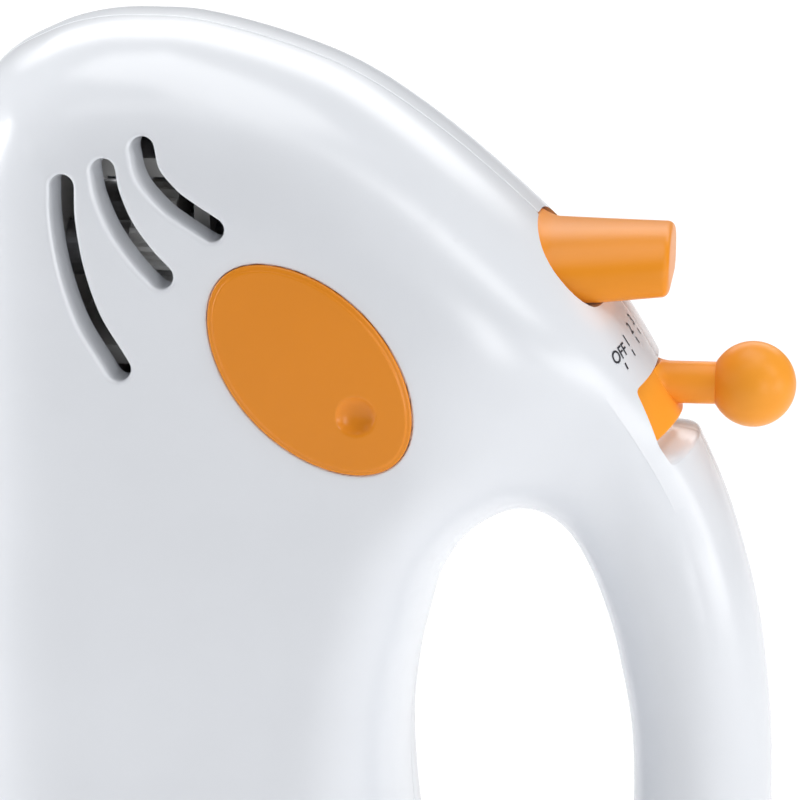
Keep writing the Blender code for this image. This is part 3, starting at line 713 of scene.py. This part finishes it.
def lever_well():
    """Floor under the lever, with the slit for its web and the ramp below it."""
    parts = [
        well_piece(None, None, (WELL_A[0], SLIT_A[0])),
        well_piece(None, None, (SLIT_A[1], WELL_A[1])),
        well_piece(None, SLIT_TURN[0], SLIT_A),
        well_piece(SLIT_TURN[1], None, SLIT_A),
    ]
    share = np.linspace(-0.99, 0.99, 60)
    side = np.array([0, 1, 0])
    foot_y, head_y = share * RAMP_FOOT[0], share * (POCKET[-1, 0] - 0.1)
    high = surface_at(head_y, np.full(60, POCKET[-1, 1] - 0.05))
    out_high = (high - PIVOT) @ OUTWARD - 0.02 - 0.3 * share ** 20
    out_low = np.sqrt(WELL_R[1] ** 2 - foot_y ** 2)
    rings = []
    for t in np.linspace(0, 1, 18):
        rise = t * t * (3 - 2 * t)
        out = out_low + (out_high - out_low) * rise
        y = foot_y + (head_y - foot_y) * t
        along = RAMP_FOOT[1] + (POCKET[-1, 1] - RAMP_FOOT[1]) * t
        rings.append(PIVOT + out[:, None] * OUTWARD + along * ALONG + y[:, None] * side)
    return merged(parts + [swept(rings, False)])


def lever():
    """Shield, web, sleeve, stem and ball of the speed lever, the stem's root kept in the shield."""
    profile = [(0, -1.0), (5.6, -1.0), (5.4, 0), (4.6, 0.6), (4.1, 1.4), (STEM_R, 2.6), (STEM_R, STEM_LENGTH)]
    stem, stem_faces = turned(profile, BALL_AT - (STEM_LENGTH + 2.0, 0, 0), (1, 0, 0), 56)
    along = (stem - PIVOT) @ ALONG
    stem = stem + np.maximum(LEVER_A[0] + 0.15 - along, 0)[:, None] * ALONG
    out = (stem - PIVOT) @ OUTWARD
    stem = stem + np.maximum(SHIELD_R[0] + 0.5 - out, 0)[:, None] * OUTWARD
    turn = np.linspace(0, pi, 41)
    ball = turned(np.stack([BALL_R * np.sin(turn), -BALL_R * np.cos(turn)], -1), BALL_AT, (1, 0, 0), 72)
    bore, outer = SLEEVE_R
    low, high = SLEEVE_A
    sleeve = turned([(bore, low), (outer, low), (outer, high), (bore, high), (bore, low)], PIVOT, ALONG, 40)
    web = sector((outer - 0.2, SHIELD_R[0] + 0.8), [(-WEB_TURN, WEB_TURN)] * 2, WEB_A, 0.0, 6)
    return merged([sector(SHIELD_R, SHIELD_TURN, LEVER_A, 0.5, 60), web, sleeve, (stem, stem_faces), ball])


def button():
    """Eject button with its flush root, flat base and eased end."""
    rings = []
    tip = BUTTON_X[1] - BUTTON_EASE * (1 - np.sin(np.linspace(0, pi / 2, 8)))
    for x in np.concatenate([[BUTTON_X[0]], np.arange(41.8, 46.4, 0.4), np.arange(47.0, 65.2, 1.0), tip]):
        share = np.clip((x - BUTTON_TAPER) / (BUTTON_X[1] - BUTTON_TAPER), 0, 1)
        drop = 1 - (1 - np.clip((x - BUTTON_DROP[0]) / np.ptp(BUTTON_DROP), 0, 1)) ** 1.6
        reach = max((x - BUTTON_X[1]) / BUTTON_EASE + 1, 0)
        shrink = BUTTON_EASE * (1 - sqrt(max(1 - reach ** 2, 0)))
        half = BUTTON_Y[0] + (BUTTON_Y[1] - BUTTON_Y[0]) * share - shrink
        high = BUTTON_TOP[0] + (BUTTON_TOP[1] - BUTTON_TOP[0]) * drop - shrink
        rise = np.clip((x - BUTTON_RISE) / (BUTTON_X[1] - BUTTON_RISE), 0, 1)
        low = BUTTON_LOW[0] + (BUTTON_LOW[1] - BUTTON_LOW[0]) * rise + shrink
        right = arch(half, low, high, BUTTON_CORNER, 34)
        loop = np.vstack([right, right[-2::-1] * (-1, 1)])
        rings.append(np.insert(loop, 0, x, axis=1))
    return lofted(rings)


def badge(side):
    """Egg-shaped plate with a fine step inside its edge, a crowned face and a thumb dimple."""
    count = 160
    rings = [(egg(-inset, count), np.full(count, level)) for inset, level in BADGE_EDGE]
    inset, level = BADGE_EDGE[-1]
    rim = egg(-inset, count) - BADGE_C
    for scale in np.linspace(1, 0, 60)[1:]:
        plan = BADGE_C + rim * scale
        away = np.linalg.norm(plan - np.array(DIMPLE_AT), axis=1) / DIMPLE_R
        dish = DIMPLE_DEPTH * np.clip(1 - away ** 2, 0, 1) ** 0.8
        rings.append((plan, level + BADGE_CROWN * (1 - scale ** 2) - dish))
    return swept([np.insert(plan, 1, side * level, axis=1) for plan, level in rings])


def wire_loop(centre_y, turn):
    """One flat wire bent into the long loop of a beater."""
    t = np.linspace(0, 1, 61)
    x = WIRE_X[0] + (WIRE_X[1] - WIRE_X[0]) * t
    r = WIRE_R[0] + (WIRE_R[1] - WIRE_R[0]) * np.sin(pi * t).clip(0) ** 0.62
    path = np.vstack([np.stack([x, r], -1), np.stack([x, -r], -1)[::-1]])
    tangent = np.roll(path, -1, axis=0) - np.roll(path, 1, axis=0)
    tangent /= np.linalg.norm(tangent, axis=1)[:, None]
    normal = np.stack([-tangent[:, 1], tangent[:, 0]], -1)
    thick, wide = WIRE
    section = eased([(-thick, -wide), (thick, -wide), (thick, wide), (-thick, wide)], 0.6, True, 4)
    rings = []
    for u, v in section:
        flat = path + normal * u
        y = flat[:, 1] * cos(turn) - v * sin(turn)
        z = flat[:, 1] * sin(turn) + v * cos(turn)
        rings.append(np.stack([flat[:, 0], centre_y + y, GEAR_Z + z], -1))
    return swept(rings + [rings[0]])


def beater_cage(side):
    """Four wires as two crossed loops, with the rings that hold them."""
    y = side * BEATER_Y
    first = pi / 4 if side > 0 else 0.0
    parts = [wire_loop(y, first), wire_loop(y, first + pi / 2)]
    for low, high in ((-109.0, -103.5), (-197.0, -191.0)):
        profile = eased([(3.2, 0), (5.4, 0), (5.4, high - low), (3.2, high - low)], 0.9)
        parts.append(turned(np.vstack([profile, profile[:1]]), (low, y, GEAR_Z), (1, 0, 0), 56))
    return merged(parts)


def beater_shaft(side):
    """Round rod with the collar that stops it in its socket."""
    profile = [(0, 0), (2.2, 0), (2.9, 0.8), (2.9, 52.5), (5.2, 53.2), (5.2, 55.6), (2.9, 56.4), (2.9, 176.5),
               (0, 176.5)]
    return turned(eased(profile, 0.5), (SHAFT_X, side * BEATER_Y, GEAR_Z), (-1, 0, 0), 40)


def socket_ring(side):
    """Flanged ring that a beater goes in through."""
    profile = [(6.0, 0), (11.4, 0), (11.4, 1.2), (9.0, 1.8), (9.0, 9.0), (6.0, 9.0)]
    profile = eased(profile + profile[:1], 0.45)
    return turned(profile, (SOCKET_X, side * BEATER_Y, GEAR_Z), (1, 0, 0), 72)


def foot(x, y):
    """Rubber foot with a neck that holds it in the heel."""
    profile = [(0, 0), (5.0, 0), (6.0, 0.5), (6.0, 1.0), (4.0, 1.0), (4.0, 2.4), (0, 2.4)]
    return turned(eased(profile, 0.25), (x, y, 0), (0, 0, 1), 48)


def cord_inlet():
    """Bush for the cord, ribbed on its taper."""
    profile = [(2.6, -9.0), (5.7, -9.0), (5.7, 0.0), (7.4, 0.4), (7.4, 2.2)]
    for k in range(5):
        along, radius = 2.6 + k * 1.25, 6.4 - k * 0.35
        profile += [(radius, along), (radius, along + 0.8)]
        profile += [(radius - 0.6, along + 0.85), (radius - 0.6, along + 1.2)]
    profile += [(4.8, 9.0), (2.6, 9.0), (2.6, -9.0)]
    return turned(eased(profile, 0.3), CORD_AT, CORD_WAY, 64)


def mark(text, y, low):
    """Flat text laid on the casing with the middle of its foot at y and low."""
    curve = bpy.data.curves.new("mark", "FONT")
    curve.body = text
    curve.size = MARK_SIZE
    curve.align_x = "CENTER"
    curve.offset = MARK_BOLD
    item = bpy.data.objects.new("mark", curve)
    bpy.context.scene.collection.objects.link(item)
    mesh = bpy.data.meshes.new_from_object(item.evaluated_get(bpy.context.evaluated_depsgraph_get()))
    mesh.calc_loop_triangles()
    flat = np.array([v.co[:2] for v in mesh.vertices])
    faces = np.array([t.vertices[:] for t in mesh.loop_triangles])
    bpy.data.objects.remove(item, do_unlink=True)
    bpy.data.curves.remove(curve)
    bpy.data.meshes.remove(mesh)
    return laid(flat, y, low), faces


def laid(flat, y, low):
    """Flat points (across, up) wrapped on the casing with their zero at y and low."""
    probe = np.linspace(-24, 8, 65)
    walk = walked(surface_at(probe, np.full(65, low)))
    at = np.interp(np.interp(y, probe, walk) + flat[:, 0], walk, probe)
    points = surface_at(at, low - flat[:, 1])
    centre = PIVOT + ((points - PIVOT) @ ALONG)[:, None] * ALONG
    away = points - centre
    return points + away / np.linalg.norm(away, axis=1)[:, None] * INK


def marks():
    """The lever's scale: each text with its tick."""
    half, tall = TICK
    tick = np.array([(-half, -tall), (half, -tall), (half, tall), (-half, tall)])
    parts = []
    for text, y, along in MARKS:
        parts.append(mark(text, y, along - MARK_ABOVE))
        parts.append((laid(tick, y, along), np.array([(0, 1, 2), (0, 2, 3)])))
    return merged(parts)


# ---------------------------------------------------------------- materials

def plastic(name, color, roughness, coat=0.0, bump=0.02, grain=900.0, vary=0.03, shine=0.5,
            gloss=0.06):
    """Moulded plastic with faint tone changes and a very fine wave; gloss is the coat's roughness."""
    material = bpy.data.materials.new(name)
    material.use_nodes = True
    nodes, links = material.node_tree.nodes, material.node_tree.links
    shader = nodes["Principled BSDF"]
    shader.inputs["Roughness"].default_value = roughness
    shader.inputs["Coat Weight"].default_value = coat
    shader.inputs["Coat Roughness"].default_value = gloss
    shader.inputs["IOR"].default_value = 1.5
    shader.inputs["Specular IOR Level"].default_value = shine
    place = nodes.new("ShaderNodeTexCoord")
    clouds = nodes.new("ShaderNodeTexNoise")
    clouds.inputs["Scale"].default_value = 22.0
    clouds.inputs["Detail"].default_value = 3.0
    links.new(place.outputs["Object"], clouds.inputs["Vector"])
    tone = nodes.new("ShaderNodeValToRGB")
    tone.color_ramp.elements[0].position = 0.3
    tone.color_ramp.elements[1].position = 0.7
    tone.color_ramp.elements[0].color = [c * (1 - vary) for c in color] + [1]
    tone.color_ramp.elements[1].color = [min(c * (1 + vary), 1) for c in color] + [1]
    links.new(clouds.outputs["Fac"], tone.inputs["Fac"])
    links.new(tone.outputs["Color"], shader.inputs["Base Color"])
    wave = nodes.new("ShaderNodeTexNoise")
    wave.inputs["Scale"].default_value = grain
    wave.inputs["Detail"].default_value = 2.0
    links.new(place.outputs["Object"], wave.inputs["Vector"])
    raised = nodes.new("ShaderNodeBump")
    raised.inputs["Strength"].default_value = bump
    raised.inputs["Distance"].default_value = 0.0002
    links.new(wave.outputs["Fac"], raised.inputs["Height"])
    links.new(raised.outputs["Normal"], shader.inputs["Normal"])
    return material


def metal(name, color, roughness, grain=(60, 60, 900), bump=0.05):
    """Metal with fine drawn or turned marks."""
    material = plastic(name, color, roughness, 0.0, bump, 1.0, 0.05)
    nodes, links = material.node_tree.nodes, material.node_tree.links
    nodes["Principled BSDF"].inputs["Metallic"].default_value = 1.0
    wave = [n for n in nodes if n.type == "TEX_NOISE"][1]
    stretch = nodes.new("ShaderNodeMapping")
    stretch.inputs["Scale"].default_value = grain
    place = [n for n in nodes if n.type == "TEX_COORD"][0]
    links.new(place.outputs["Object"], stretch.inputs["Vector"])
    links.new(stretch.outputs["Vector"], wave.inputs["Vector"])
    return material


def paint(item, material):
    """Give all of an object one material."""
    item.data.materials.clear()
    item.data.materials.append(material)
    for polygon in item.data.polygons:
        polygon.material_index = 0


def fit(name, body, nodes, shape, material, sharp=40):
    """Turn a shape into an object that rides a body in place of CAD nodes."""
    item = make_object(name, *shape)
    bm = bmesh.new()
    bm.from_mesh(item.data)
    bmesh.ops.remove_doubles(bm, verts=bm.verts, dist=2e-6)
    bmesh.ops.recalc_face_normals(bm, faces=bm.faces)
    bm.to_mesh(item.data)
    bm.free()
    shade(item, sharp)
    paint(item, material)
    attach(item, body)
    if nodes:
        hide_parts(nodes)


def build_pieces(looks):
    """Everything visible apart from the casing."""
    fit("speed_lever_skin", "lever", "speed_lever", lever(), looks["orange"])
    fit("eject_button_skin", "ejector", "eject_button", button(), looks["button"], 60)
    fit("lever_well_skin", "housing", "lever_well", lever_well(), looks["white"])
    fit("cord_inlet_skin", "housing", "cord_inlet", cord_inlet(), looks["grey"])
    fit("speed_marks", "housing", None, marks(), looks["ink"])
    for name, side in (("left", -1), ("right", 1)):
        fit("badge_%s_skin" % name, "housing", "badge_" + name, badge(side), looks["badge"], 60)
        fit("socket_ring_%s_skin" % name, "housing", "socket_ring_" + name, socket_ring(side), looks["trim"])
        fit("beater_cage_%s_skin" % name, "beater_" + name, "beater_cage_" + name, beater_cage(side),
            looks["chrome"])
        fit("beater_shaft_%s_skin" % name, "beater_" + name, "beater_shaft_" + name, beater_shaft(side),
            looks["chrome"])
    for k, (x, y) in enumerate(FEET):
        node = "foot_%d" % (k + 1)
        fit(node + "_skin", "housing", node, foot(x, y), looks["rubber"])


# ---------------------------------------------------------------- stage

def area_light(name, at, aim, size, power):
    """A white soft box that faces a point."""
    lamp = bpy.data.lights.new(name, "AREA")
    lamp.shape = "RECTANGLE"
    lamp.size, lamp.size_y = size
    lamp.energy = power
    item = bpy.data.objects.new(name, lamp)
    item.location = at
    item.rotation_euler = (Vector(aim) - Vector(at)).to_track_quat("-Z", "Y").to_euler()
    bpy.context.scene.collection.objects.link(item)


def glowing_paper():
    """Pale seamless paper that is lit up to a plain white."""
    material = plastic("floor_paper", (0.90, 0.90, 0.905), 0.9, vary=0.004)
    shader = material.node_tree.nodes["Principled BSDF"]
    shader.inputs["Specular IOR Level"].default_value = 0.0
    shader.inputs["Emission Color"].default_value = (1.0, 1.0, 1.0, 1)
    shader.inputs["Emission Strength"].default_value = FLOOR_GLOW
    return material


def build_stage():
    """Floor, world and lights."""
    scene = bpy.context.scene
    floor = make_object("floor", [(-4000, -4000, 0), (4000, -4000, 0), (4000, 4000, 0), (-4000, 4000, 0)],
                        [(0, 1, 2, 3)])
    paint(floor, glowing_paper())
    world = bpy.data.worlds.new("studio")
    world.use_nodes = True
    background = world.node_tree.nodes["Background"]
    background.inputs["Color"].default_value = (0.92, 0.95, 1.0, 1)
    background.inputs["Strength"].default_value = WORLD_GLOW
    scene.world = world
    scene.view_settings.view_transform = "Standard"
    for light in LIGHTS:
        area_light(*light)


def build_camera():
    """Camera turned and raised about its aim."""
    turn, rise = radians(CAMERA_TURN), radians(CAMERA_RISE)
    away = Vector((sin(turn) * cos(rise), -cos(turn) * cos(rise), sin(rise)))
    lens = bpy.data.cameras.new("camera")
    lens.sensor_width = 36.0
    lens.lens = 36.0 * CAMERA_AWAY / CAMERA_SPAN
    lens.clip_start = 0.01
    lens.clip_end = 50.0
    item = bpy.data.objects.new("camera", lens)
    item.location = Vector(CAMERA_AT) + away * CAMERA_AWAY
    item.rotation_euler = (-away).to_track_quat("-Z", "Y").to_euler()
    bpy.context.scene.collection.objects.link(item)
    bpy.context.scene.camera = item


def build_looks():
    """All materials by name."""
    return {
        "white": plastic("white_abs", (0.785, 0.805, 0.84), 0.27, coat=0.25, gloss=0.2),
        "trim": plastic("white_trim_abs", (0.74, 0.76, 0.79), 0.24, coat=0.15),
        # The lever, the button and the badge are one orange plastic. Its copy is painted lighter on the lever
        # as painted light, and darker on the button and the badge as painted shade.
        "orange": plastic("lever_orange_lit", (0.98, 0.37, 0.035), 0.35, shine=0.25),
        "button": plastic("button_orange_shaded", (0.88, 0.30, 0.018), 0.35, shine=0.25),
        "badge": plastic("badge_orange_shaded", (0.80, 0.262, 0.013), 0.26, shine=0.35),
        "grey": plastic("grey_nylon", (0.60, 0.59, 0.57), 0.45, bump=0.06),
        "dark": plastic("dark_phenolic", (0.035, 0.035, 0.04), 0.4, bump=0.06),
        "ink": plastic("mark_ink", (0.03, 0.03, 0.04), 0.5),
        "board": plastic("board_laminate", (0.02, 0.14, 0.05), 0.35, vary=0.12),
        "rubber": plastic("foot_rubber", (0.05, 0.05, 0.052), 0.7, bump=0.12, grain=1400.0, vary=0.1),
        "chrome": metal("chrome_wire", (0.80, 0.80, 0.82), 0.12, (900, 60, 60), 0.02),
        "steel": metal("turned_steel", (0.52, 0.52, 0.54), 0.32, (300, 300, 2500), 0.08),
        "laminated": metal("lamination_stack", (0.30, 0.30, 0.32), 0.42, (20, 20, 3000), 0.3),
        "copper": metal("enamelled_copper", (0.62, 0.27, 0.12), 0.28, (300, 300, 2600), 0.3),
    }


# Looks of the CAD nodes that stay visible as they are.
CAD_LOOKS = {
    "trim": ["heel_plate"],
    "grey": ["gearbox_frame", "motor_frame", "eject_fork", "fan", "drive_wheel_left", "drive_wheel_right"],
    "dark": ["speed_switch", "brush_left", "brush_right", "suppressor"],
    "board": ["control_board"],
    "steel": ["screw_1", "screw_2", "screw_3", "screw_4", "lever_pin", "motor_shaft", "worm", "spindle_left",
              "spindle_right", "eject_spring"],
    "laminated": ["armature", "motor_stator"],
    "copper": ["winding_lower", "winding_upper", "commutator", "field_coil_left", "field_coil_right"],
}


def main():
    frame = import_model()
    build_camera()
    build_stage()
    looks = build_looks()
    for name, side, screws in (("casing_left", -1, []), ("casing_right", 1, SCREWS)):
        item = build_casing(name, side, screws)
        paint(item, looks["white"])
        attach(item, "housing")
        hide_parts(name)
    build_pieces(looks)
    for look, names in CAD_LOOKS.items():
        for name in names:
            paint(frame["nodes"][name], looks[look])


main()
